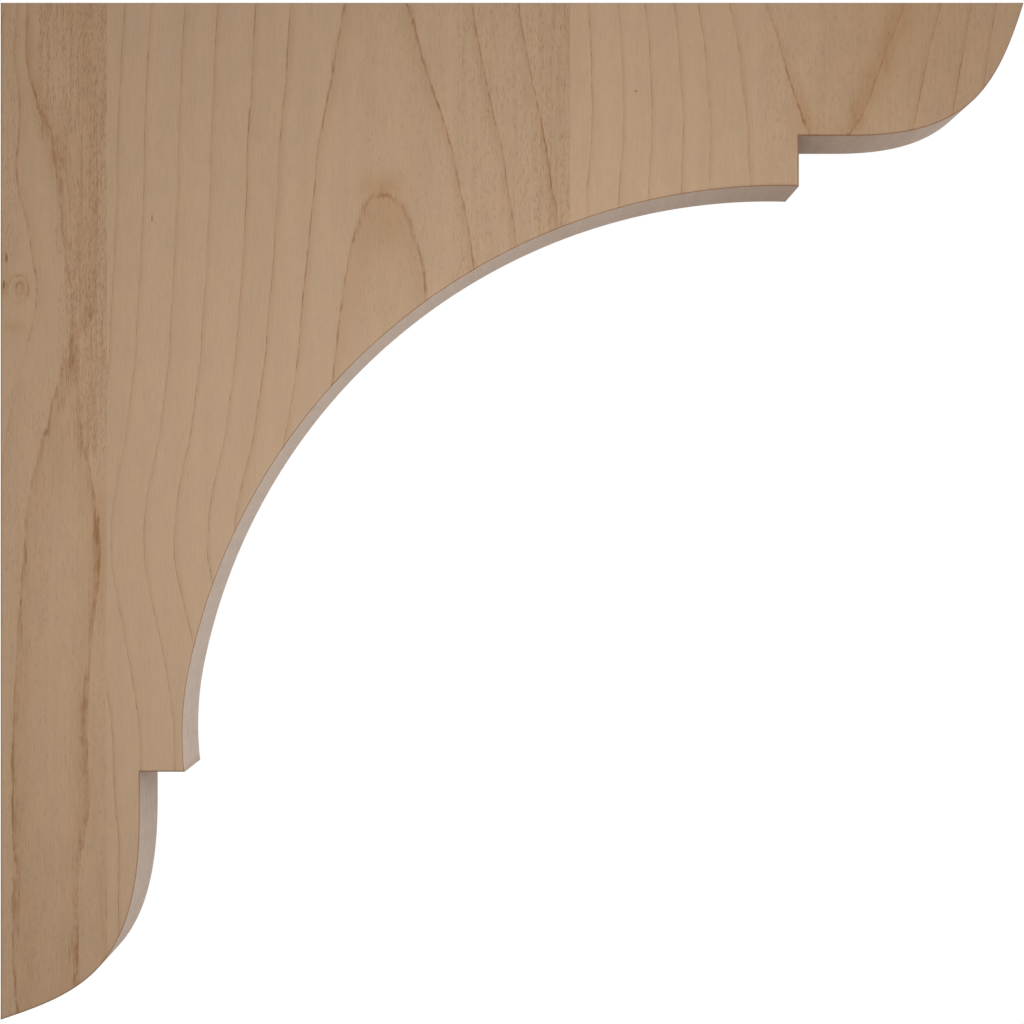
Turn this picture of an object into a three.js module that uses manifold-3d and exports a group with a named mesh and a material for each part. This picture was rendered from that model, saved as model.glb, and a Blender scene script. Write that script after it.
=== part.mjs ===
// A solid wooden corbel bracket: a leg against the wall, an arm under the shelf and an arch sawn between them.
// The blank is glued up edge to edge from three upright staves, and the outline is sawn through all of them.
// Millimetres, +Z up. The wall face lies in the plane x = 0, the arm reaches out along +X, and Y is the thickness.
// The origin is the centre of the wall face.
import * as THREE from "three";
import { mergeVertices } from "three/addons/utils/BufferGeometryUtils.js";
import Module from "manifold-3d";

// Driving dimensions of the whole bracket
const projection = 254; // from the wall face to the tip of the arm
const height = 252.5; // from the top face to the tip of the leg
const thickness = 44.45; // across the bracket, the dressed thickness of the boards
const easedEdge = 0.4; // sanded flat along each edge of the two side faces

// The staves, measured from the wall face
const wallStaveWidth = 26.4;
const middleStaveWidth = 115;

// The arch: one large arc from the crown under the arm, and a tighter one at the foot against the leg
const archRadius = 150;
const footRadius = 80.8;
const footTurn = THREE.MathUtils.degToRad(11.5); // height above the large arc's centre, where the arcs meet
const armStep = 12.4; // square step from the underside of the arm's lobe down to the arch
const legStep = 10.55; // square step from the face of the leg's lobe out to the arch

// A lobe ends the arm or the leg. It is drawn from its tip: u runs back along the member, and v runs inwards
// from the top face or the wall face. Its edge leaves the tip leaning in by `lean`, rounds over to the full
// depth and runs straight for `flat` back to the step. The two fullness values say how far the round bulges.
const armLobe = {
  length: 55.8,
  depth: 33.15,
  flat: 12.8,
  lean: THREE.MathUtils.degToRad(17.1),
  tipFullness: 0.72, // pull at the tip, as a share of the depth
  sideFullness: 0.66, // pull at the full depth, as a share of the rounded length
};
const legLobe = {
  length: 61.55,
  depth: 34.65,
  flat: 10.2,
  lean: THREE.MathUtils.degToRad(18.1),
  tipFullness: 0.655,
  sideFullness: 0.735,
};

const chord = 2.5; // longest straight step along a curve, well over the eased edge

// A lobe's rounded edge from the tip to the start of its flat, as a cubic Bezier. `place` turns (u, v) into
// the outline's own coordinates.
function lobeCurve(lobe, place) {
  const rounded = lobe.length - lobe.flat;
  const tipPull = lobe.tipFullness * lobe.depth;
  return new THREE.CubicBezierCurve(
    place(0, 0),
    place(tipPull * Math.sin(lobe.lean), tipPull * Math.cos(lobe.lean)),
    place(rounded - lobe.sideFullness * rounded, lobe.depth),
    place(rounded, lobe.depth),
  );
}

// The arch's two arcs, from the leg's step up to the arm's step. Their centres follow from the depth left
// above the crown and the width left beside the foot.
function archCurves(armStepX, legStepZ) {
  const crownDepth = armLobe.depth + armStep;
  const legDepth = legLobe.depth + legStep;
  const between = archRadius - footRadius;
  const footX = legDepth + footRadius;
  const largeX = footX + between * Math.cos(footTurn);
  const largeZ = -crownDepth - archRadius;
  const footZ = largeZ + between * Math.sin(footTurn);
  const start = Math.PI - Math.asin((legStepZ - footZ) / footRadius);
  const handOver = Math.PI - footTurn;
  const end = Math.acos((armStepX - largeX) / archRadius);
  const arc = (x, z, radius, from, to) =>
    new THREE.EllipseCurve(x, z, radius, radius, from, to, true);
  return [
    arc(footX, footZ, footRadius, start, handOver),
    arc(largeX, largeZ, archRadius, handOver, end),
  ];
}

function sampled(curve) {
  return curve.getSpacedPoints(Math.ceil(curve.getLength() / chord));
}

// The sawn outline in x and z, with the top corner at the wall as its zero point and z downwards negative.
// It runs down the wall face, round the leg's lobe, up the arch and round the arm's lobe to its tip.
function bracketOutline() {
  const armStepX = projection - armLobe.length;
  const legStepZ = legLobe.length - height;
  const armPlace = (u, v) => new THREE.Vector2(projection - u, -v);
  const legPlace = (u, v) => new THREE.Vector2(v, u - height);
  const [footArc, largeArc] = archCurves(armStepX, legStepZ);
  return new THREE.Shape([
    new THREE.Vector2(0, 0),
    ...sampled(lobeCurve(legLobe, legPlace)),
    legPlace(legLobe.length, legLobe.depth),
    ...sampled(footArc),
    ...sampled(largeArc).slice(1),
    armPlace(armLobe.length, armLobe.depth),
    ...sampled(lobeCurve(armLobe, armPlace)).reverse(),
  ]);
}

// The outline carried through the thickness, with its edges eased, then turned upright.
function bracketBlank() {
  const geometry = new THREE.ExtrudeGeometry(bracketOutline(), {
    depth: thickness - 2 * easedEdge,
    bevelEnabled: true,
    bevelSegments: 1,
    bevelThickness: easedEdge,
    bevelSize: easedEdge,
    bevelOffset: -easedEdge,
  });
  geometry.translate(0, 0, easedEdge - thickness / 2);
  geometry.rotateX(Math.PI / 2);
  return geometry;
}

const wasm = await Module();
wasm.setup();

function toSolid(geometry) {
  const bare = geometry.clone();
  bare.deleteAttribute("normal");
  bare.deleteAttribute("uv");
  const merged = mergeVertices(bare);
  return new wasm.Manifold(
    new wasm.Mesh({
      numProp: 3,
      vertProperties: merged.attributes.position.array,
      triVerts: new Uint32Array(merged.index.array),
    }),
  );
}

// A cut solid back as geometry, with the points of each glued face set exactly on its plane.
function toGeometry(solid, gluePlanes) {
  const { numProp, vertProperties, triVerts } = solid.getMesh();
  const positions = new Float32Array((vertProperties.length / numProp) * 3);
  const planeReach = 1e-3;
  for (let i = 0; i < positions.length / 3; i++) {
    positions.set(vertProperties.subarray(i * numProp, i * numProp + 3), i * 3);
    for (const plane of gluePlanes)
      if (Math.abs(positions[i * 3] - plane) < planeReach)
        positions[i * 3] = plane;
  }
  const geometry = new THREE.BufferGeometry();
  geometry.setAttribute("position", new THREE.BufferAttribute(positions, 3));
  geometry.setIndex(new THREE.BufferAttribute(triVerts, 1));
  geometry.computeVertexNormals();
  return geometry;
}

// The part of the blank between two upright planes square to the wall's normal.
function stave(blank, from, to, gluePlanes) {
  const slab = new THREE.BoxGeometry(to - from, 2 * thickness, 3 * height);
  slab.translate((from + to) / 2, 0, -height / 2);
  return toGeometry(blank.intersect(toSolid(slab)), gluePlanes);
}

const firstGlueLine = wallStaveWidth;
const secondGlueLine = wallStaveWidth + middleStaveWidth;
const gluePlanes = [firstGlueLine, secondGlueLine];
const clear = 10; // how far a slab reaches past the blank where nothing is cut

const staves = [
  {
    name: "wall_stave",
    from: -clear,
    to: firstGlueLine,
    color: 0xa68a70,
  },
  {
    name: "middle_stave",
    from: firstGlueLine,
    to: secondGlueLine,
    color: 0xb09478,
  },
  {
    name: "nose_stave",
    from: secondGlueLine,
    to: projection + clear,
    color: 0xb59a7e,
  },
];

const bracket = new THREE.Group();
bracket.name = "corbel_bracket";
bracket.position.z = height / 2;
const blank = toSolid(bracketBlank());
for (const { name, from, to, color } of staves) {
  const wood = new THREE.MeshStandardMaterial({
    color,
    roughness: 0.8,
    metalness: 0,
  });
  const mesh = new THREE.Mesh(stave(blank, from, to, gluePlanes), wood);
  mesh.name = name;
  bracket.add(mesh);
}

export default bracket;
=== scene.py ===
# The looks of a solid wooden corbel bracket: three upright staves glued edge to edge and sawn to an arch
# between a leg and an arm. Metres, +Z up. The wall face lies in the plane x = 0, and the arm reaches out
# along +X.
import math

import bmesh
import bpy
import numpy as np
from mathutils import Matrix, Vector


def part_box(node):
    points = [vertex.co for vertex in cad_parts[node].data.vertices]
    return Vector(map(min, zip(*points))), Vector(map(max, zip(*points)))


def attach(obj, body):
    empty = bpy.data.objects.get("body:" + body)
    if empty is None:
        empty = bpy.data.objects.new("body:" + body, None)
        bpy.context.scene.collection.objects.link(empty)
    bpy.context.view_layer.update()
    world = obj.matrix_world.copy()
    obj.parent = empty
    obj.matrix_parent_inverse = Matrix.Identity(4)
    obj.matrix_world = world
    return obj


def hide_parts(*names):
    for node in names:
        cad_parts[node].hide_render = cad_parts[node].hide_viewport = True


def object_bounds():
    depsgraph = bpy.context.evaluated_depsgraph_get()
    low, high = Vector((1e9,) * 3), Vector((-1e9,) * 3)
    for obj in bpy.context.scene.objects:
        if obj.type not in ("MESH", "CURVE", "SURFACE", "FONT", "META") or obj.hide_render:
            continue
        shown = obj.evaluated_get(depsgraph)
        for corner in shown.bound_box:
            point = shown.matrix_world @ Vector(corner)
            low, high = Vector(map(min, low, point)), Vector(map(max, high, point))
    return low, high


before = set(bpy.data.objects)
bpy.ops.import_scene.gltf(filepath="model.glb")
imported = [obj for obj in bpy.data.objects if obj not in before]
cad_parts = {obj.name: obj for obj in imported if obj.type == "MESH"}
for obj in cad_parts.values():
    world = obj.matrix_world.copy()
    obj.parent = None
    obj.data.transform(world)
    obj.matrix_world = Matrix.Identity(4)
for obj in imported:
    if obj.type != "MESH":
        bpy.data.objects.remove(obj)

cad_low, cad_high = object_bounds()
MM = 0.001

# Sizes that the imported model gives
projection = cad_high.x
top = cad_high.z
height = cad_high.z - cad_low.z
front = cad_low.y
thickness = cad_high.y - cad_low.y
first_glue_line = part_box("wall_stave")[1].x
second_glue_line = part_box("middle_stave")[1].x

# The sawn outline, repeated from the part's source
eased_edge = 0.4 * MM
arch_radius = 150 * MM
foot_radius = 80.8 * MM
foot_turn = math.radians(11.5)
arm_step = 12.4 * MM
leg_step = 10.55 * MM
arm_lobe = {
    "length": 55.8 * MM,
    "depth": 33.15 * MM,
    "flat": 12.8 * MM,
    "lean": math.radians(17.1),
    "tip_fullness": 0.72,
    "side_fullness": 0.66,
}
leg_lobe = {
    "length": 61.55 * MM,
    "depth": 34.65 * MM,
    "flat": 10.2 * MM,
    "lean": math.radians(18.1),
    "tip_fullness": 0.655,
    "side_fullness": 0.735,
}
arm_step_x = projection - arm_lobe["length"]
leg_step_z = top - height + leg_lobe["length"]
arch_foot_x = leg_lobe["depth"] + leg_step

# How finely the outline and the surfaces are divided
curve_samples = 400
cell = 1.6 * MM
wall_stave_cell = 0.75 * MM  # finer, because this stave carries the small knot
rows_down = {"wall_stave": 280, "middle_stave": 120, "nose_stave": 120}
arris_steps = 3
steps_across = 20
nearly_straight = 1e-6  # the squared sine of a bend that counts as none
weld_distance = 1e-7
sharp_from = math.radians(40)


def drawn_curve(t, a, b, c, d):
    """A cubic from a to d that is drawn towards b and c: with s for 1 - t, the four values are weighted by
    s cubed, three times s squared times t, three times s times t squared, and t cubed."""
    s = 1 - t
    return s**3 * a + 3 * s**2 * t * b + 3 * s * t**2 * c + t**3 * d


def lobe_curve(lobe):
    """A lobe's rounded edge from its tip, as a drawn cubic: u runs back along the member, and v inwards
    from its outer face."""
    t = np.linspace(0, 1, curve_samples)
    rounded = lobe["length"] - lobe["flat"]
    pull = lobe["tip_fullness"] * lobe["depth"]
    lean = lobe["lean"]
    u = drawn_curve(t, 0, pull * math.sin(lean), rounded * (1 - lobe["side_fullness"]), rounded)
    v = drawn_curve(t, 0, pull * math.cos(lean), lobe["depth"], lobe["depth"])
    return u, v


def arc(centre, radius, start, end):
    """Points on a circle from one angle to the other: the centre plus the radius times cosine and sine."""
    angle = np.linspace(start, end, curve_samples)
    return np.column_stack([centre[0] + radius * np.cos(angle), centre[1] + radius * np.sin(angle)])


def evenly(points, step=cell):
    """The same curve with its points spaced evenly along its length, at most one step apart."""
    walked = np.concatenate([[0.0], np.cumsum(np.hypot(*np.diff(points, axis=0).T))])
    even = np.linspace(0, walked[-1], math.ceil(walked[-1] / step) + 1)
    return np.column_stack([np.interp(even, walked, points[:, axis]) for axis in (0, 1)])


def joined(*stretches):
    """Stretches of an outline set end to end, each shared corner kept once."""
    spaced = [evenly(np.asarray(points)) for points in stretches]
    return np.vstack([spaced[0], *(points[1:] for points in spaced[1:])])


def cut_at(curve, x):
    """A curve that runs towards +X, parted at x: the stretch before it and the stretch after it."""
    point = [x, np.interp(x, curve[:, 0], curve[:, 1])]
    before = curve[curve[:, 0] < x]
    after = curve[curve[:, 0] > x]
    return np.vstack([before, point]), np.vstack([point, after])


def lower_edges():
    """The underside of the outline from the wall to the tip of the arm, as one run of points per stave:
    the leg's lobe and step, the arch's two arcs, and the arm's step and lobe, parted at the glue lines."""
    arm_u, arm_v = lobe_curve(arm_lobe)
    leg_u, leg_v = lobe_curve(leg_lobe)
    arm_round = np.column_stack([projection - arm_u, top - arm_v])[::-1]
    leg_round = np.column_stack([leg_v, top - height + leg_u])
    between = arch_radius - foot_radius
    foot_centre_x = arch_foot_x + foot_radius
    arch_centre = (
        foot_centre_x + between * math.cos(foot_turn),
        top - arm_lobe["depth"] - arm_step - arch_radius,
    )
    foot_centre = (foot_centre_x, arch_centre[1] + between * math.sin(foot_turn))
    foot_start = math.pi - math.asin((leg_step_z - foot_centre[1]) / foot_radius)
    hand_over = math.pi - foot_turn
    arch_end = math.acos((arm_step_x - arch_centre[0]) / arch_radius)
    foot = arc(foot_centre, foot_radius, foot_start, hand_over)
    arch = arc(arch_centre, arch_radius, hand_over, arch_end)
    leg_tip, leg_side = cut_at(leg_round, first_glue_line)
    arch_rise, arch_crown = cut_at(arch, second_glue_line)
    leg_corner = [leg_round[-1][0], leg_step_z]
    arm_corner = [arm_step_x, arm_round[0][1]]
    return (
        evenly(leg_tip, wall_stave_cell),
        joined(leg_side, [leg_side[-1], leg_corner], [leg_corner, foot[0]], foot, arch_rise),
        joined(arch_crown, [arch_crown[-1], arm_corner], [arm_corner, arm_round[0]], arm_round),
    )


def inset_corners(loop, inset):
    """Each corner of a closed loop, moved inwards until it lies the right distance inside both its edges.
    The move is the mix of the two inward normals that has the wanted length along each of them."""
    run = np.roll(loop, -1, axis=0) - loop
    after = np.column_stack([-run[:, 1], run[:, 0]]) / np.hypot(run[:, 0], run[:, 1])[:, None]
    before = np.roll(after, 1, axis=0)
    inset_before = np.roll(inset, 1)
    cosine = (before * after).sum(axis=1)
    bend = 1 - cosine**2
    straight = bend < nearly_straight
    share = np.where(straight, 1, bend)
    along_before = np.where(straight, inset_before / 2, (inset_before - cosine * inset) / share)
    along_after = np.where(straight, inset / 2, (inset - cosine * inset_before) / share)
    return loop + along_before[:, None] * before + along_after[:, None] * after


def face_grids(upper, lower, sag, inset_at_wall, rows):
    """Two grids over a stave's face, ruled from the top edge down to the sawn edge: the full outline, and
    the same one drawn in by the eased edge along every edge that isn't glued. The ruled columns sag towards
    the wall by a cubic, most of all two thirds of the way down, and so meet the arch's foot from inside."""
    pointed = np.allclose(upper[-1], lower[-1])
    over = upper[::-1][1:] if pointed else upper[::-1]
    loop = np.vstack([lower, over])
    inset = np.full(len(loop), eased_edge)
    inset[-1] = inset_at_wall
    if not pointed:
        inset[len(lower) - 1] = 0
    drawn_in = inset_corners(loop, inset)
    lower_in = drawn_in[: len(lower)]
    upper_in = drawn_in[len(lower) :][::-1]
    if pointed:
        upper_in = np.vstack([upper_in, lower_in[-1]])
    down = np.linspace(0, 1, rows + 1)[None, :, None]
    share_of_sag = down**2 * (1 - down) * 27 / 4  # reaches 1 two thirds of the way down
    sagged = -sag[:, None, None] * share_of_sag * [1, 0]
    full = upper[:, None] * (1 - down) + lower[:, None] * down + sagged
    inner = upper_in[:, None] * (1 - down) + lower_in[:, None] * down + sagged
    return full, inner, pointed


def band_profile():
    """The profile of the band across the thickness: a quarter round, a straight run and a quarter round.
    Returns how far back each step lies, and how far out it stands, from 0 on a face to 1 on the outline."""
    turn = np.linspace(0, math.pi / 2, arris_steps + 1)
    rounding = np.sin(turn)
    rise = eased_edge * (1 - np.cos(turn))
    straight = np.linspace(eased_edge, thickness - eased_edge, steps_across + 1)[1:-1]
    back = np.concatenate([rise, straight, (thickness - rise)[::-1]])[1:-1]
    outward = np.concatenate([rounding, np.ones(len(straight)), rounding[::-1]])[1:-1]
    return back, outward


def stave_surface(full, inner, pointed):
    """The closed skin of a stave: the front grid, the back grid and the band that joins their borders,
    which goes from the inner outline out to the full one and back. Returns vertices, quads, and for each
    vertex how far it is round the arris (0 on a face, 1 on an edge) and whether it lies on the sawn
    underside."""
    columns, rows = full.shape[0] - 1, full.shape[1] - 1
    number = np.arange((columns + 1) * (rows + 1)).reshape(columns + 1, rows + 1)
    right_side = number[columns, rows - 1 : 0 : -1]
    if pointed:
        right_side = right_side[:0]
    underside = number[:, rows]
    above = number[::-1, 0][1:] if pointed else number[::-1, 0]
    left_side = number[0, 1:rows]
    around = np.concatenate([underside, right_side, above, left_side])

    back, outward = band_profile()
    inner_loop = inner.reshape(-1, 2)[around]
    full_loop = full.reshape(-1, 2)[around]
    bands = inner_loop + outward[:, None, None] * (full_loop - inner_loop)
    faces_xz = inner.reshape(-1, 2)
    xz = np.vstack([faces_xz, faces_xz, bands.reshape(-1, 2)])
    y = front + np.concatenate(
        [
            np.zeros(len(faces_xz)),
            np.full(len(faces_xz), thickness),
            np.repeat(back, len(around)),
        ]
    )
    vertices = np.column_stack([xz[:, 0], y, xz[:, 1]])
    edge = np.concatenate([np.zeros(2 * len(faces_xz)), np.repeat(outward, len(around))])
    sawn = np.zeros(len(vertices))
    sawn[underside] = 1
    sawn[len(faces_xz) + underside] = 1
    band_sawn = np.zeros((len(back), len(around)))
    band_sawn[:, : len(underside)] = 1
    sawn[2 * len(faces_xz) :] = band_sawn.ravel()

    a, b = number[:-1, :-1].ravel(), number[:-1, 1:].ravel()
    c, d = number[1:, 1:].ravel(), number[1:, :-1].ravel()
    front_quads = np.column_stack([a, b, c, d])
    back_quads = front_quads[:, ::-1] + len(faces_xz)
    band_numbers = 2 * len(faces_xz) + np.arange(len(back) * len(around)).reshape(len(back), -1)
    loops = np.vstack([around, band_numbers, around + len(faces_xz)])
    onward = np.roll(loops, -1, axis=1)
    side_quads = np.stack([loops[:-1], loops[1:], onward[1:], onward[:-1]], axis=-1).reshape(-1, 4)
    return vertices, np.vstack([front_quads, back_quads, side_quads]), edge, sawn


def through(places, values, at):
    """A smooth curve through the values: a cubic between each two of them, whose slope at both ends is taken
    from the neighbouring values."""
    places, values = np.asarray(places, float), np.asarray(values, float)
    slope = np.gradient(values, places)
    i = np.clip(np.searchsorted(places, at) - 1, 0, len(places) - 2)
    width = places[i + 1] - places[i]
    t = np.clip((at - places[i]) / width, 0, 1)
    start = (1 + 2 * t) * (1 - t) ** 2 * values[i] + t * (1 - t) ** 2 * width * slope[i]
    return start + t**2 * (3 - 2 * t) * values[i + 1] + t**2 * (t - 1) * width * slope[i + 1]


# How each stave grew, in millimetres. `depth` is measured down from the top face. The pith stands in front
# of the face: at each depth `centre` is its distance from the wall, and `half_width` is how far the first
# growth line lies to either side of it on the face, negative where that line hasn't reached the face yet.
# `widening` is the girth of the rings there, and `lopsided` how far later rings grow towards +X. `rings`
# are radii, and `boldness` is how bold the line at each radius is. `knots`, `heavy` and `faint` are soft
# round spots, as (x, depth, half width, half height, amount): a knot adds to the ring count and so draws the
# lines round it, and the lines are bolder in a heavy spot and less bold in a faint one.
growth_of = {
    "wall_stave": {
        "depth": [0, 15, 25, 35, 47, 60, 75, 90, 98, 108, 118, 128, 140, 158, 180, 200, 215, 228, 250],
        "centre": [15.2, 14.8, 16.0, 17.7, 19.1, 19.8, 20.2, 17.6, 16.4, 15.4, 15.2, 15.3, 15.0, 13.3,
                   12.3, 12.5, 11.3, 11.1, 12.0],
        "half_width": [8.7, 8.2, 7.0, 5.3, 4.8, 4.1, 2.6, 0.0, 2.6, 5.0, 7.4, 9.0, 9.4, 9.3, 9.2, 9.4,
                       8.2, 8.1, 7.8],
        "widening": ([0, 24, 42, 57, 75, 100, 260], [0.8, 1.07, 1.7, 1.5, 1.5, 1.6, 1.6]),
        "lopsided": 0,
        "rings": [0.5, 12, 14.4, 18.6, 22.6, 27, 31, 35.5, 39.5, 44, 48, 52, 56.5, 60.5, 65, 69, 73,
                  77.5, 82],
        "boldness": [0.8, 0.9] + [0.6] * 17,
        "knots": [(4.9, 71, 2.0, 2.8, 1.7), (4.9, 71.2, 5.5, 7, 0.25)],
        "heavy": [
            (17.5, 91, 2.5, 7, 0.3),
            (24.5, 138, 3, 17, 0.45),
            (6.5, 12, 3, 12, 0.3),
            (4.9, 70.5, 3, 4, 0.5),
            (3.4, 205, 3, 34, 0.3),
            (21.5, 188, 3, 24, 0.3),
        ],
        "faint": [
            (24, 10, 5, 72, 0.9),
            (12.3, 36, 3, 9, 0.35),
            (16.2, 57, 2.5, 9, 0.6),
            (18.8, 73, 3, 8, 0.4),
            (17.6, 97, 2.5, 6, 0.45),
            (3.7, 73.4, 2.2, 3, 0.4),
            (4, 93, 4.5, 13, 0.85),
            (18, 221, 3, 7, 0.55),
        ],
    },
    "middle_stave": {
        "depth": [0, 10, 19, 29, 39, 47.4, 50, 53, 59, 69, 79, 89, 99, 109, 119, 128, 138, 148, 158, 168,
                  178, 188, 198, 210],
        "centre": [93.0, 93.3, 93.8, 94.2, 94.6, 95.0, 95.1, 95.1, 95.2, 95.1, 94.2, 93.2, 91.6, 90.2,
                   89.2, 89.4, 90.4, 92.6, 94.6, 96.0, 96.7, 96.5, 96.0, 96.0],
        "half_width": [-15.3, -14.3, -13, -10, -5.9, 0, 4.5, 5.9, 7.8, 10, 10.5, 10.5, 10.5, 11.5, 15, 19,
                       21, 20, 17.5, 14.7, 12.5, 12, 11.5, 11],
        "widening": ([0, 19, 49, 69, 89, 109, 128, 148, 168, 188, 208],
                     [1, 1.028, 1.048, 1.06, 1.045, 1.035, 1.06, 1.09, 1.097, 1.077, 1.05]),
        "lopsided": 0.25,
        "rings": [28, 33.9, 38, 43.3, 49.1, 57, 64.6, 73.2, 80, 87.5, 95, 102, 109, 116],
        "boldness": [0.8] + [1] * 5 + [0.9] * 8,
        "knots": [],
        "heavy": [(133, 40, 5, 12, 0.3), (28.2, 190, 2.5, 18, 0.4)],
        "faint": [(95, 48, 3.5, 3, 0.25)],
    },
    "nose_stave": {
        "depth": [0, 9, 19, 29, 35, 40, 47, 60],
        "centre": [207.2, 207.0, 206.6, 206.2, 205.6, 204.8, 203.8, 203],
        "half_width": [17.4, 14, 10.8, 6.8, 3, -5.5, -9.3, -12],
        "widening": ([0, 260], [1, 1]),
        "lopsided": 0,
        "rings": [22, 28.4, 34.6, 40.8, 45.9, 52.3, 58.4, 65.4, 71.5, 77.8, 84, 90.5, 97, 104, 111],
        "boldness": [0.8, 1] + [0.9] * 13,
        "knots": [],
        "heavy": [],
        "faint": [(214, 26, 4, 8, 0.45), (219.5, 12, 4, 9, 0.45), (223.5, 0, 4, 6, 0.45)],
    },
}
knot_crowding = 3.0  # how much closer the lines stand in a knot

# Where pores crowd, as (x from, x to, depth from, depth to, amount) in millimetres, each with soft sides
pore_zones = {
    "wall_stave": [
        (9, 28, -20, 34, 0.85),
        (20, 28, -20, 34, 1.4),
        (13, 26, 22, 60, 0.45),
        (13.4, 17.2, 30, 62, 1.1),
        (15, 20.8, 58, 96, 1.1),
        (19.4, 26.4, 22, 112, 1.5),
        (-5, 28, 92, 270, 0.33),
        (-5, 4.5, -20, 66, 0.5),
    ],
    "middle_stave": [
        (131, 160, -20, 70, 0.65),
        (112, 132, -20, 90, 0.5),
        (88, 112, -20, 90, 0.3),
        (20, 88, -20, 90, 0.08),
        (20, 90, 90, 270, 0.08),
    ],
    "nose_stave": [(188, 270, -20, 60, 0.35), (120, 188, -20, 80, 0.07)],
}
soft_side = 4.0

# Darker, redder patches, as (x, depth, half width, half height, amount) in millimetres
stains = {
    "wall_stave": [
        (24.6, 137, 1.8, 18, 1.0),
        (17.6, 88, 1.6, 8, 0.4),
        (3.5, 80.5, 3.5, 1.6, 0.6),
        (5.2, 71, 2, 2.8, 0.35),
        (7.2, 12, 1.3, 9, 0.5),
        (8.6, 24, 1.4, 5, 0.6),
        (10.8, 31, 1.5, 4, 0.7),
        (12.9, 38, 1.5, 4.5, 0.9),
        (23, 20, 2.5, 60, 0.3),
        (22.5, 75, 3, 30, 0.3),
        (23, 190, 2, 20, 0.3),
    ],
    "middle_stave": [
        (95.5, 54, 6, 9, 0.5),
        (95, 45.5, 5, 3, 0.75),
        (137.5, 25, 4, 50, 0.2),
        (94, 70, 8, 16, 0.3),
    ],
    "nose_stave": [
        (226, 5, 30, 32, 0.5),
        (199, 29, 2.5, 7, 0.6),
        (212.8, 28, 2.2, 5, 1.0),
        (215.8, 20, 2.2, 5, 1.0),
        (219.6, 12, 2.2, 5, 1.0),
        (223, 4, 2.2, 5, 1.0),
    ],
}
stain_reach = 9.0  # how deep a stain goes into the thickness, in millimetres
stain_left = 0.3  # the share of it that goes right through

# Painted shade in the two inner corners, where the flat of a lobe meets its step: how dark it is in each,
# and how far it reaches
arm_corner_painted_shade = 1.0
leg_corner_painted_shade = 0.75
arm_painted_shade_reach = 19 * MM
leg_painted_shade_reach = 22 * MM


def smooth_step(value, start, end):
    """Goes from 0 at start to 1 at end along a smooth cubic."""
    t = np.clip((value - start) / (end - start), 0, 1)
    return t * t * (3 - 2 * t)


def pores_at(vertices, zones):
    """The share of cells that hold a pore: the most of any zone, where each is its amount times a soft step
    at each of its four sides."""
    x, depth = vertices[:, 0] / MM, (top - vertices[:, 2]) / MM
    amount = np.zeros(len(vertices))
    for x_from, x_to, depth_from, depth_to, most in zones:
        inside = smooth_step(x, x_from - soft_side / 2, x_from + soft_side / 2)
        inside = inside * (1 - smooth_step(x, x_to - soft_side / 2, x_to + soft_side / 2))
        inside = inside * smooth_step(depth, depth_from - soft_side, depth_from + soft_side)
        inside = inside * (1 - smooth_step(depth, depth_to - soft_side, depth_to + soft_side))
        amount = np.maximum(amount, most * inside)
    return amount


def spots_at(vertices, spots):
    """The sum of soft round spots: each a bell curve across and along the grain."""
    x, depth = vertices[:, 0] / MM, (top - vertices[:, 2]) / MM
    amount = np.zeros(len(vertices))
    for spot_x, spot_depth, half_width, half_height, most in spots:
        away = ((x - spot_x) / half_width) ** 2 + ((depth - spot_depth) / half_height) ** 2
        amount += most * np.exp(-away)
    return amount


def stain_at(vertices, spots):
    """The stains on the face, which fade into the thickness by a bell curve, down to the share left."""
    into = (vertices[:, 1] - front) / MM
    fading = stain_left + (1 - stain_left) * np.exp(-((into / stain_reach) ** 2))
    return np.minimum(spots_at(vertices, spots), 1) * fading


def painted_corner_shade_at(vertices, sawn):
    """How much painted shade a sawn point gets from an inner corner: an exponential of its distance from the
    corner over the corner's reach. The leg's corner paints shade only on what lies below its step."""
    x, z = vertices[:, 0], vertices[:, 2]
    from_arm = np.hypot(x - arm_step_x, z - top + arm_lobe["depth"])
    from_leg = np.hypot(x - leg_lobe["depth"], z - leg_step_z)
    arm_painted_shade = arm_corner_painted_shade * np.exp(-from_arm / arm_painted_shade_reach)
    leg_painted_shade = leg_corner_painted_shade * np.exp(-from_leg / leg_painted_shade_reach) * (z < leg_step_z + eased_edge)
    return np.maximum(arm_painted_shade, leg_painted_shade) * sawn


def growth_at(vertices, growth):
    """Counts the growth rings out from the pith: the distance to the pith's line, less its lopsided share
    and over the rings' girth at that height, read off against the list of ring radii. Also returns the
    distance between neighbouring growth lines there in millimetres, and how bold the nearest line is."""
    x, y = vertices[:, 0] / MM, (vertices[:, 1] - front) / MM
    depth = (top - vertices[:, 2]) / MM
    half = np.array(growth["half_width"])
    half_squared = through(growth["depth"], half * np.abs(half), depth)
    girth = through(*growth["widening"], depth)
    radii = np.array(growth["rings"], float)
    first_line = radii[1] * girth
    reach = np.sqrt(np.maximum(first_line**2 - half_squared, 1)) + y
    aside = x - through(growth["depth"], growth["centre"], depth)
    aside = aside - growth["lopsided"] * (np.hypot(aside, reach) - reach)
    radius = np.hypot(aside, reach) / girth
    count = np.arange(len(radii), dtype=float)
    knotted = spots_at(vertices, growth["knots"])
    ring = np.interp(radius, radii, count) + knotted
    gap = np.interp(ring, count[:-1] + 0.5, np.diff(radii)) * girth / (1 + knot_crowding * knotted)
    bold = np.interp(ring, count, growth["boldness"])
    faint = np.minimum(spots_at(vertices, growth["faint"]), 1)
    bold = (bold + spots_at(vertices, growth["heavy"])) * (1 - faint)
    return ring, gap, bold


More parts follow.
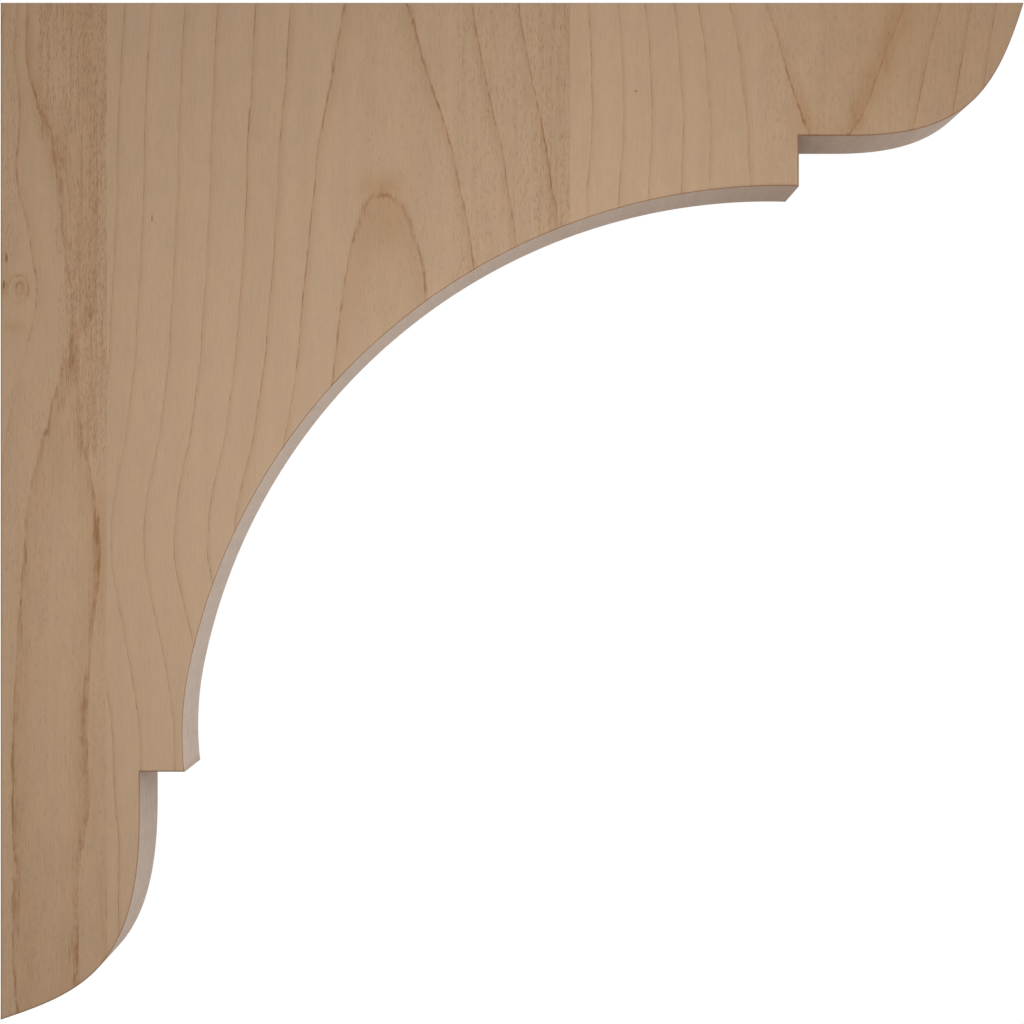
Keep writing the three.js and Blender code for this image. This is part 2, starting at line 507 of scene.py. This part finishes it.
def make_stave(node, columns, lower, inset_at_wall):
    """A finished stave in place of its CAD node, with its growth written into point attributes."""
    walked = np.concatenate([[0.0], np.cumsum(np.hypot(*np.diff(lower, axis=0).T))])
    upper_x, sag = columns(walked, lower)
    upper = np.column_stack([upper_x, np.full(len(lower), top)])
    grids = face_grids(upper, lower, sag, inset_at_wall, rows_down[node])
    vertices, quads, edge, sawn = stave_surface(*grids)
    mesh = bpy.data.meshes.new(node + "_surface")
    mesh.from_pydata(vertices, [], quads)
    ring, gap, bold = growth_at(vertices, growth_of[node])
    written = {
        "ring": ring,
        "gap": gap,
        "bold": bold,
        "edge": edge,
        "sawn": sawn,
        "pores": pores_at(vertices, pore_zones[node]),
        "stain": stain_at(vertices, stains[node]),
        # painted shade near the two inner corners
        "corner": painted_corner_shade_at(vertices, sawn),
    }
    for name, values in written.items():
        layer = mesh.attributes.new(name, "FLOAT", "POINT")
        layer.data.foreach_set("value", values.astype(np.float32))
    welded = bmesh.new()
    welded.from_mesh(mesh)
    bmesh.ops.remove_doubles(welded, verts=welded.verts, dist=weld_distance)
    welded.to_mesh(mesh)
    welded.free()
    mesh.polygons.foreach_set("use_smooth", np.ones(len(mesh.polygons), bool))
    mesh.set_sharp_from_angle(angle=sharp_from)
    piece = bpy.data.objects.new(node + "_wood", mesh)
    bpy.context.scene.collection.objects.link(piece)
    flatten = piece.modifiers.new("flat_faces_stay_flat", "WEIGHTED_NORMAL")
    flatten.keep_sharp = True
    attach(piece, "root")
    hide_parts(node)
    return piece


# The middle stave's columns: where the one that ends in the leg's inner corner starts on the top edge, and
# how far this one and the one that ends at the arch's foot sag towards the wall
corner_column_x = 31 * MM
corner_sag = 0.8 * MM
foot_sag = 5 * MM


def wall_columns(walked, lower):
    """Upright columns: each starts on the top edge straight above the point where it ends."""
    return lower[:, 0], np.zeros(len(lower))


def middle_columns(walked, lower):
    """Columns that fan out: even steps to the leg's inner corner, then even steps to the second glue line.
    They sag more and more up to the arch's foot, and less and less from there on."""
    at_corner = walked[np.argmin(np.hypot(*(lower - [leg_lobe["depth"], leg_step_z]).T))]
    at_foot = at_corner + leg_step
    end = walked[-1]
    upper_x = np.interp(walked, [0, at_corner, end], [first_glue_line, corner_column_x, second_glue_line])
    return upper_x, np.interp(walked, [0, at_corner, at_foot, end], [0, corner_sag, foot_sag, 0])


def nose_columns(walked, lower):
    """Columns spread evenly from the second glue line to the tip of the arm."""
    return np.interp(walked, [0, walked[-1]], [second_glue_line, projection]), np.zeros(len(lower))


wall_lower, middle_lower, nose_lower = lower_edges()
staves = {
    "wall_stave": make_stave("wall_stave", wall_columns, wall_lower, eased_edge),
    "middle_stave": make_stave("middle_stave", middle_columns, middle_lower, 0),
    "nose_stave": make_stave("nose_stave", nose_columns, nose_lower, 0),
}

# Shaders

# How many lumps each noise has per metre, along the width, the thickness and the grain
lumps = {
    "sway": (260, 260, 38),
    "feather": (2200, 2200, 130),
    "long fade": (330, 330, 26),
    "short fade": (500, 500, 260),
    "chains": (1100, 1100, 22),
    "brown": (1500, 1500, 45),
    "fine": (1900, 1900, 230),
    "broad": (190, 190, 7),
    "warmth": (230, 230, 110),
    "speckle": (1500, 1300, 130),
    "marks": (420, 12, 420),
    "ragged": (3000, 3000, 900),
}
early_share = 0.2  # how wide the fade on a growth line's early side is, as a share of the late wood
early_strength = 0.8
pore_cells = (2600, 2600, 430)  # cells that may hold a pore, along the same three axes
pore_layers = ((1.0, 1.0), (1.6, 0.7))  # how many times as dense the cells are, and how dark their pores
faintest_pore = 0.3
pin_raggedness = 0.8


def feed(tree, socket, value):
    """Gives a node's input a link, where the value is another node's output, or else a plain value."""
    if isinstance(value, bpy.types.NodeSocket):
        tree.links.new(value, socket)
    else:
        socket.default_value = value


def calc(tree, operation, *values):
    """One Math node: the operation done on the values, each of them a link or a number."""
    node = tree.nodes.new("ShaderNodeMath")
    node.operation = operation
    for socket, value in zip(node.inputs, values):
        feed(tree, socket, value)
    return node.outputs[0]


def fade(tree, value, start, end, low=0.0, high=1.0):
    """Goes smoothly from low to high as the value goes from start to end."""
    node = tree.nodes.new("ShaderNodeMapRange")
    node.interpolation_type = "SMOOTHSTEP"
    for socket, given in zip(node.inputs, (value, start, end, low, high)):
        feed(tree, socket, given)
    return node.outputs[0]


def scaled(tree, vector, factors):
    """The vector times a factor for each axis."""
    node = tree.nodes.new("ShaderNodeVectorMath")
    node.operation = "MULTIPLY"
    feed(tree, node.inputs[0], vector)
    feed(tree, node.inputs[1], factors)
    return node.outputs[0]


def noise(tree, vector, per_metre, detail, roughness=0.5):
    """Noise from 0 to 1 with so many lumps per metre along each axis, and finer ones laid over them."""
    node = tree.nodes.new("ShaderNodeTexNoise")
    feed(tree, node.inputs["Vector"], scaled(tree, vector, per_metre))
    node.inputs["Scale"].default_value = 1
    node.inputs["Detail"].default_value = detail
    node.inputs["Roughness"].default_value = roughness
    return node.outputs["Fac"]


def mixed(tree, amount, first, second, blend="MIX"):
    """Two colours mixed, or the second laid over the first by a blend such as MULTIPLY."""
    node = tree.nodes.new("ShaderNodeMix")
    node.data_type = "RGBA"
    node.blend_type = blend
    first_colour, second_colour = [socket for socket in node.inputs if socket.type == "RGBA"]
    feed(tree, node.inputs["Factor"], amount)
    feed(tree, first_colour, first)
    feed(tree, second_colour, second)
    return next(socket for socket in node.outputs if socket.type == "RGBA")


def attribute(tree, name):
    """A number that the mesh carries at its points."""
    node = tree.nodes.new("ShaderNodeAttribute")
    node.attribute_name = name
    return node.outputs["Fac"]


def new_group(name, inputs, outputs):
    """An empty node group with named sockets. Returns the group, its inputs and its output node."""
    tree = bpy.data.node_groups.new(name, "ShaderNodeTree")
    kinds = {"vector": "NodeSocketVector", "number": "NodeSocketFloat"}
    for label, kind in inputs.items():
        tree.interface.new_socket(label, in_out="INPUT", socket_type=kinds[kind])
    for label, kind in outputs.items():
        tree.interface.new_socket(label, in_out="OUTPUT", socket_type=kinds[kind])
    given = tree.nodes.new("NodeGroupInput")
    return tree, given.outputs, tree.nodes.new("NodeGroupOutput")


def placed(tree, group, **values):
    """A node group set into a material, its inputs given by name, with _ for a space. Returns its outputs,
    by name too."""
    node = tree.nodes.new("ShaderNodeGroup")
    node.node_tree = group
    for label, value in values.items():
        feed(tree, node.inputs[label.replace("_", " ")], value)
    return node.outputs


def growth_lines_group():
    """Thin dark lines where the ring count passes a whole number, with the darker late wood just inside
    each of them. Noise shifts the count, so the lines waver, and noise fades them, so they break up. Widths
    are in millimetres, measured out from the pith, so a line that lies flat to the face spreads out."""
    tree, given, result = new_group(
        "growth_lines",
        {
            "position": "vector",
            "ring": "number",
            "gap": "number",
            "bold": "number",
            "line width": "number",
            "late wood width": "number",
            "waver": "number",
            "feather": "number",
        },
        {"line": "number", "late wood": "number"},
    )
    place = given["position"]
    sway = calc(tree, "SUBTRACT", noise(tree, place, lumps["sway"], 3.0, 0.68), 0.5)
    feather = calc(tree, "SUBTRACT", noise(tree, place, lumps["feather"], 1.0), 0.5)
    feathered = calc(tree, "MULTIPLY", feather, given["feather"])
    shift = calc(tree, "MULTIPLY_ADD", sway, given["waver"], feathered)
    shift = calc(tree, "DIVIDE", shift, given["gap"])
    share = calc(tree, "FRACT", calc(tree, "ADD", given["ring"], shift))
    past = calc(tree, "MULTIPLY", share, given["gap"])
    ahead = calc(tree, "SUBTRACT", given["gap"], past)
    width = calc(tree, "MULTIPLY", given["line width"], given["bold"])
    nearest = calc(tree, "MINIMUM", past, ahead)
    line = fade(tree, nearest, 0.0, width, low=1.0, high=0.0)
    long_noise = noise(tree, place, lumps["long fade"], 1.0)
    short_noise = noise(tree, place, lumps["short fade"], 2.0, 0.6)
    long_fade = fade(tree, long_noise, 0.3, 0.6, low=0.45, high=1.0)
    short_fade = fade(tree, short_noise, 0.36, 0.62, low=0.24, high=1.3)
    strength = calc(tree, "MULTIPLY", calc(tree, "MULTIPLY", long_fade, short_fade), given["bold"])
    late = fade(tree, ahead, 0.0, given["late wood width"], low=1.0, high=0.0)
    early_width = calc(tree, "MULTIPLY", given["late wood width"], early_share)
    early = fade(tree, past, 0.0, early_width, low=early_strength, high=0.0)
    soft = calc(tree, "MULTIPLY", calc(tree, "MAXIMUM", late, early), given["bold"])
    tree.links.new(calc(tree, "MULTIPLY", line, strength), result.inputs["line"])
    tree.links.new(soft, result.inputs["late wood"])
    return tree


def pores_group():
    """Short dark dashes along the grain: two sizes of stretched cells, of which a random share holds a
    pore. The share rises and falls across the grain, so the pores stand in chains. Where they are few they
    are faint too. Where they crowd, the wood between them has long brown streaks."""
    tree, given, result = new_group(
        "pores",
        {"position": "vector", "amount": "number", "cells per metre": "vector"},
        {"pores": "number", "streaks": "number"},
    )
    place = given["position"]
    chains = fade(tree, noise(tree, place, lumps["chains"], 2.0), 0.38, 0.62, low=0.3, high=1.35)
    share = calc(tree, "MULTIPLY", given["amount"], chains)
    contrast = fade(tree, given["amount"], 0.0, 0.8, low=0.3, high=1.0)
    layers = []
    for density, strength in pore_layers:
        cells = tree.nodes.new("ShaderNodeTexVoronoi")
        spread = scaled(tree, given["cells per metre"], (density, density, density))
        feed(tree, cells.inputs["Vector"], scaled(tree, place, spread))
        cells.inputs["Scale"].default_value = 1
        chance = tree.nodes.new("ShaderNodeSeparateColor")
        tree.links.new(cells.outputs["Color"], chance.inputs[0])
        spot = fade(tree, cells.outputs["Distance"], 0.12, 0.5, low=1.0, high=0.0)
        kept = calc(tree, "LESS_THAN", chance.outputs[0], share)
        range_of_dark = (1 - faintest_pore) * strength
        dark = calc(tree, "MULTIPLY_ADD", chance.outputs[1], range_of_dark, faintest_pore * strength)
        layers.append(calc(tree, "MULTIPLY", calc(tree, "MULTIPLY", spot, kept), dark))
    dash = calc(tree, "MULTIPLY", calc(tree, "MAXIMUM", *layers), contrast)
    tree.links.new(dash, result.inputs["pores"])
    brown = fade(tree, noise(tree, place, lumps["brown"], 2.0, 0.6), 0.42, 0.66)
    crowded = fade(tree, given["amount"], 0.1, 1.0)
    tree.links.new(calc(tree, "MULTIPLY", brown, crowded), result.inputs["streaks"])
    return tree


def fibres_group():
    """The fine streaks of the fibres, the broad bands of light and dark along the board, and patches where
    the wood is warmer or cooler."""
    tree, given, result = new_group(
        "fibres",
        {"position": "vector"},
        {"fine": "number", "broad": "number", "warmth": "number"},
    )
    place = given["position"]
    tree.links.new(noise(tree, place, lumps["fine"], 3.0, 0.6), result.inputs["fine"])
    tree.links.new(noise(tree, place, lumps["broad"], 3.0, 0.55), result.inputs["broad"])
    tree.links.new(noise(tree, place, lumps["warmth"], 3.0, 0.6), result.inputs["warmth"])
    return tree


def sawn_edge_group():
    """The look of a sawn and sanded edge: fibres, which are a speckle where they are cut across and streaks
    where the edge runs along them, and faint marks across the thickness."""
    tree, given, result = new_group(
        "sawn_edge",
        {"position": "vector"},
        {"speckle": "number", "marks": "number"},
    )
    place = given["position"]
    tree.links.new(noise(tree, place, lumps["speckle"], 3.0, 0.7), result.inputs["speckle"])
    tree.links.new(noise(tree, place, lumps["marks"], 3.0, 0.6), result.inputs["marks"])
    return tree


def pin_mark_group():
    """A small dark mark left by a pin knot: 1 inside an ellipsoid round its centre and 0 outside, with a
    ragged border."""
    tree, given, result = new_group(
        "pin_mark",
        {"position": "vector", "centre": "vector", "one over size": "vector"},
        {"mark": "number"},
    )
    from_centre = tree.nodes.new("ShaderNodeVectorMath")
    from_centre.operation = "SUBTRACT"
    tree.links.new(given["position"], from_centre.inputs[0])
    tree.links.new(given["centre"], from_centre.inputs[1])
    length = tree.nodes.new("ShaderNodeVectorMath")
    length.operation = "LENGTH"
    tree.links.new(scaled(tree, from_centre.outputs[0], given["one over size"]), length.inputs[0])
    rough = noise(tree, given["position"], lumps["ragged"], 1.0)
    ragged = calc(tree, "MULTIPLY_ADD", rough, pin_raggedness, -pin_raggedness / 2)
    away = calc(tree, "ADD", length.outputs["Value"], ragged)
    tree.links.new(fade(tree, away, 0.3, 1.0, low=1.0, high=0.0), result.inputs["mark"])
    return tree


growth_lines = growth_lines_group()
pores = pores_group()
fibres = fibres_group()
sawn_edge = sawn_edge_group()
pin_mark = pin_mark_group()

# Tints, as linear colours that are multiplied into the wood
warm_tint = (1.02, 1.005, 0.995)
cool_tint = (0.975, 0.985, 0.995)
band_tint = (0.965, 0.955, 0.945, 1)
fibre_tint = (0.88, 0.87, 0.85, 1)
stain_tint = (0.885, 0.785, 0.68, 1)
late_wood_tint = (0.94, 0.895, 0.845, 1)
line_tint = (0.72, 0.595, 0.47, 1)
streak_tint = (0.91, 0.85, 0.785, 1)
pore_tint = (0.56, 0.43, 0.33, 1)
pin_tint = (0.58, 0.46, 0.36, 1)
# painted shade for the inner corners
painted_corner_shade_tint = (0.66, 0.59, 0.54, 1)
arris_tint = (0.62, 0.53, 0.47, 1)

# Each stave's finish: the wood's own colour, the tint of its sawn edge, and in millimetres how wide its
# growth lines and late wood are and how far they waver and feather out. Its pin marks are given as
# (x, depth, half width, half height). The sawn edge's tint is partly the sawn wood's own paler, greyer tone
# and partly painted light that brightens the sides.
finish_of = {
    "wall_stave": {
        "colour": (0.444, 0.294, 0.178),
        "sawn_tone_and_painted_light": (1.22, 1.37, 1.70, 1),
        "line_width": 0.40,
        "late_wood_width": 1.8,
        "waver": 1.5,
        "feather": 0.9,
        "pin_marks": [(1.5, 63.5, 0.5, 2.2), (0.9, 70, 0.4, 1.6)],
    },
    "middle_stave": {
        "colour": (0.449, 0.301, 0.1855),
        "sawn_tone_and_painted_light": (1.255, 1.42, 1.76, 1),
        "line_width": 0.14,
        "late_wood_width": 1.3,
        "waver": 0.6,
        "feather": 0.3,
        "pin_marks": [(37.6, 53.5, 0.28, 1.4)],
    },
    "nose_stave": {
        "colour": (0.474, 0.317, 0.195),
        "sawn_tone_and_painted_light": (1.175, 1.315, 1.63, 1),
        "line_width": 0.15,
        "late_wood_width": 1.1,
        "waver": 0.6,
        "feather": 0.35,
        "pin_marks": [(157.7, 22, 0.35, 0.4)],
    },
}
pin_depth = 6.0  # how deep a pin mark goes, in millimetres
sawn_evenness = 0.55  # how far a sawn edge hides what the face shows
fibre_share = 0.5  # how much of the fibres' tint is laid on
roughest = 0.62
smoothest = 0.5
specular_level = 0.3
relief_strength = 0.35
relief_depth = 0.14 * MM
fibre_hollow = 0.25  # how deep the hollows between fibres are beside a pore's


def tinted(colour, tint):
    """A colour times a tint, channel by channel."""
    return (*(part * share for part, share in zip(colour, tint)), 1)


def pin_mask(tree, place, mark):
    """Where one pin mark on the front face is."""
    x, depth, half_width, half_height = mark
    spot = placed(
        tree,
        pin_mark,
        position=place,
        centre=(x * MM, front, top - depth * MM),
        one_over_size=(1 / (half_width * MM), 1 / (pin_depth * MM), 1 / (half_height * MM)),
    )
    return spot["mark"]


def planed_colour(tree, finish, place, streaks, fine, porous):
    """The colour of a planed face: warm and cool patches of the wood's colour, times one tint after
    another, each laid on by its own mask."""
    growth = placed(
        tree,
        growth_lines,
        position=place,
        ring=attribute(tree, "ring"),
        gap=attribute(tree, "gap"),
        bold=attribute(tree, "bold"),
        line_width=finish["line_width"],
        late_wood_width=finish["late_wood_width"],
        waver=finish["waver"],
        feather=finish["feather"],
    )
    layers = [
        (fade(tree, streaks["broad"], 0.3, 0.7), band_tint),
        (calc(tree, "MULTIPLY", fine, fibre_share), fibre_tint),
        (attribute(tree, "stain"), stain_tint),
        (growth["late wood"], late_wood_tint),
        (growth["line"], line_tint),
        (porous["streaks"], streak_tint),
        (porous["pores"], pore_tint),
    ]
    for mark in finish["pin_marks"]:
        layers.append((pin_mask(tree, place, mark), pin_tint))
    warmth = fade(tree, streaks["warmth"], 0.35, 0.65)
    cool, warm = tinted(finish["colour"], cool_tint), tinted(finish["colour"], warm_tint)
    shade = mixed(tree, warmth, cool, warm)
    for mask, tint in layers:
        shade = mixed(tree, mask, shade, tint, "MULTIPLY")
    return shade


def sawn_colour(tree, finish, place, planed):
    """The colour of a sawn edge: the planed colour and the wood's plain one, both times the sawn tint, mixed
    by the evenness, times the speckle of the cut fibres and the saw's marks. The sawn tint makes the edge
    paler and greyer, partly as the sawn wood's own tone and partly as painted light."""
    cut = placed(tree, sawn_edge, position=place)
    speckle = fade(tree, cut["speckle"], 0.3, 0.7, low=0.83, high=1.1)
    marks = fade(tree, cut["marks"], 0.3, 0.7, low=0.95, high=1.03)
    bright = calc(tree, "MULTIPLY", speckle, marks)
    brightness = tree.nodes.new("ShaderNodeCombineColor")
    for socket in brightness.inputs:
        tree.links.new(bright, socket)
    # partly painted light: the sawn tint brightens the sides beyond the sawn wood's own tone
    grey = mixed(tree, 1.0, planed, finish["sawn_tone_and_painted_light"], "MULTIPLY")
    grey = mixed(tree, sawn_evenness, grey, tinted(finish["colour"], finish["sawn_tone_and_painted_light"]))
    return mixed(tree, 1.0, grey, brightness.outputs[0], "MULTIPLY")


def stave_wood(node):
    """The wood of one stave: planed on the faces, sawn round the edges, with painted shade in the inner
    corners, and darker along the sawn edge's arris. Pores and fibres are hollows in its relief."""
    finish = finish_of[node]
    material = bpy.data.materials.new(node + "_cherry")
    material.use_nodes = True
    tree = material.node_tree
    shader = tree.nodes["Principled BSDF"]
    place = tree.nodes.new("ShaderNodeTexCoord").outputs["Object"]
    edge = attribute(tree, "edge")
    streaks = placed(tree, fibres, position=place)
    fine = fade(tree, streaks["fine"], 0.35, 0.75)
    crowding = attribute(tree, "pores")
    porous = placed(tree, pores, position=place, amount=crowding, cells_per_metre=pore_cells)

    planed = planed_colour(tree, finish, place, streaks, fine, porous)
    sawn = sawn_colour(tree, finish, place, planed)
    shade = mixed(tree, fade(tree, edge, 0.5, 1.0), planed, sawn)
    # painted shade: the sawn edge is darkened near the two inner corners
    shade = mixed(tree, attribute(tree, "corner"), shade, painted_corner_shade_tint, "MULTIPLY")
    # the sawn edge's arris is made darker here
    past_face = fade(tree, edge, 0.05, 0.45)
    before_side = fade(tree, edge, 0.86, 1.0, low=1.0, high=0.0)
    arris = calc(tree, "MULTIPLY", past_face, before_side)
    darker_arris = calc(tree, "MULTIPLY", arris, attribute(tree, "sawn"))
    shade = mixed(tree, darker_arris, shade, arris_tint, "MULTIPLY")
    tree.links.new(shade, shader.inputs["Base Color"])

    roughness = fade(tree, streaks["fine"], 0.3, 0.7, low=roughest, high=smoothest)
    tree.links.new(roughness, shader.inputs["Roughness"])
    shader.inputs["Specular IOR Level"].default_value = specular_level
    pore_hollows = calc(tree, "MULTIPLY", porous["pores"], -1.0)
    fibre_hollows = calc(tree, "MULTIPLY", fine, -fibre_hollow)
    relief = tree.nodes.new("ShaderNodeBump")
    relief.inputs["Strength"].default_value = relief_strength
    relief.inputs["Distance"].default_value = relief_depth
    tree.links.new(calc(tree, "ADD", pore_hollows, fibre_hollows), relief.inputs["Height"])
    tree.links.new(relief.outputs[0], shader.inputs["Normal"])
    return material


for node, piece in staves.items():
    piece.data.materials.append(stave_wood(node))

# Light: a white studio, a soft lamp close in front of the face, and softer ones from the right and above


def soft_lamp(name, place, aim, size, brightness, colour=(1, 1, 1)):
    """A square soft lamp that faces a point and that the camera doesn't see. Its brightness is what it adds
    to a white surface at that point: the power is that times pi squared and the distance squared."""
    lamp = bpy.data.lights.new(name, "AREA")
    lamp.shape = "SQUARE"
    lamp.size = size
    lamp.color = colour
    away = np.subtract(aim, place)
    lamp.energy = brightness * math.pi**2 * float(away @ away)
    holder = bpy.data.objects.new(name, lamp)
    holder.location = place
    turn = math.atan2(away[1], away[0])
    tilt = math.atan2(math.hypot(away[0], away[1]), -away[2])
    holder.rotation_euler = (tilt, 0, turn - math.pi / 2)
    holder.visible_camera = False
    bpy.context.scene.collection.objects.link(holder)


middle_x = projection / 2
front_lamp_z = -0.008
sky_strength = 0.38
soft_lamp(
    "front_lamp",
    place=(middle_x, -0.32, front_lamp_z),
    aim=(middle_x, front, front_lamp_z),
    size=0.1,
    brightness=0.642,
)
soft_lamp(
    "right_lamp",
    place=(1.1, -0.1, -0.06),
    aim=(middle_x, 0, 0),
    size=0.7,
    brightness=0.54,
    colour=(0.89, 0.99, 1.12),
)
soft_lamp("top_lamp", place=(0.1, -0.05, 1.2), aim=(middle_x, 0, 0), size=0.8, brightness=0.3)

# The camera sees the studio as plain white, and the bracket is lit by a dimmer one
studio = bpy.data.worlds.new("white_studio")
studio.use_nodes = True
bpy.context.scene.world = studio
sky = studio.node_tree
sky_light = sky.nodes["Background"]
sky_light.inputs["Color"].default_value = (1, 1, 1, 1)
sky_light.inputs["Strength"].default_value = sky_strength
sky_seen = sky.nodes.new("ShaderNodeBackground")
sky_seen.inputs["Color"].default_value = (1, 1, 1, 1)
sky_seen.inputs["Strength"].default_value = 1.0
chosen = sky.nodes.new("ShaderNodeMixShader")
sky.links.new(sky.nodes.new("ShaderNodeLightPath").outputs["Is Camera Ray"], chosen.inputs[0])
sky.links.new(sky_light.outputs[0], chosen.inputs[1])
sky.links.new(sky_seen.outputs[0], chosen.inputs[2])
sky.links.new(chosen.outputs[0], sky.nodes["World Output"].inputs["Surface"])
bpy.context.scene.view_settings.view_transform = "Standard"

# Floor: a pale disc well below the bracket that turns to the white of the studio further out, and is clear
# from underneath. The far part glows a little, and shows plain white to the camera.
floor_height = -0.45
floor_radius = 6.0
rim_corners = 96
pale_radius = 0.5
white_radius = 1.7
far_glow = 0.4
floor_colour = (0.72, 0.675, 0.63, 1)
floor_roughness = 0.9
rim = np.linspace(0, 2 * math.pi, rim_corners + 1)[:-1]
floor_mesh = bpy.data.meshes.new("floor")
rim_points = np.column_stack([np.cos(rim), np.sin(rim), np.zeros(rim_corners)]) * floor_radius
floor_mesh.from_pydata(rim_points + [middle_x, 0, floor_height], [], [list(range(rim_corners))])
floor = bpy.data.objects.new("floor", floor_mesh)
bpy.context.scene.collection.objects.link(floor)
pale = bpy.data.materials.new("pale_floor")
pale.use_nodes = True
ground = pale.node_tree
pale_shader = ground.nodes["Principled BSDF"]
pale_shader.inputs["Base Color"].default_value = floor_colour
pale_shader.inputs["Roughness"].default_value = floor_roughness
white = ground.nodes.new("ShaderNodeEmission")
seen = ground.nodes.new("ShaderNodeLightPath").outputs["Is Camera Ray"]
ground.links.new(calc(ground, "MAXIMUM", seen, far_glow), white.inputs["Strength"])
where = ground.nodes.new("ShaderNodeTexCoord").outputs["Object"]
far = ground.nodes.new("ShaderNodeVectorMath")
far.operation = "LENGTH"
ground.links.new(scaled(ground, where, (1, 1, 0)), far.inputs[0])
spread = ground.nodes.new("ShaderNodeMixShader")
ground.links.new(fade(ground, far.outputs["Value"], pale_radius, white_radius), spread.inputs[0])
ground.links.new(pale_shader.outputs[0], spread.inputs[1])
ground.links.new(white.outputs[0], spread.inputs[2])
clear = ground.nodes.new("ShaderNodeMixShader")
ground.links.new(ground.nodes.new("ShaderNodeNewGeometry").outputs["Backfacing"], clear.inputs[0])
ground.links.new(spread.outputs[0], clear.inputs[1])
ground.links.new(ground.nodes.new("ShaderNodeBsdfTransparent").outputs[0], clear.inputs[2])
ground.links.new(clear.outputs[0], ground.nodes["Material Output"].inputs["Surface"])
floor_mesh.materials.append(pale)

# Camera: level, square on to the face and close enough for the bracket to fill the frame
camera_place = (0.12697, -0.9052, -0.0002)
sensor_width = 36  # millimetres
focal_length = 125.07  # millimetres
camera_data = bpy.data.cameras.new("camera")
camera_data.sensor_width = sensor_width
camera_data.lens = focal_length
camera = bpy.data.objects.new("camera", camera_data)
camera.location = camera_place
camera.rotation_euler = (math.radians(90), 0, 0)
bpy.context.scene.collection.objects.link(camera)
bpy.context.scene.camera = camera
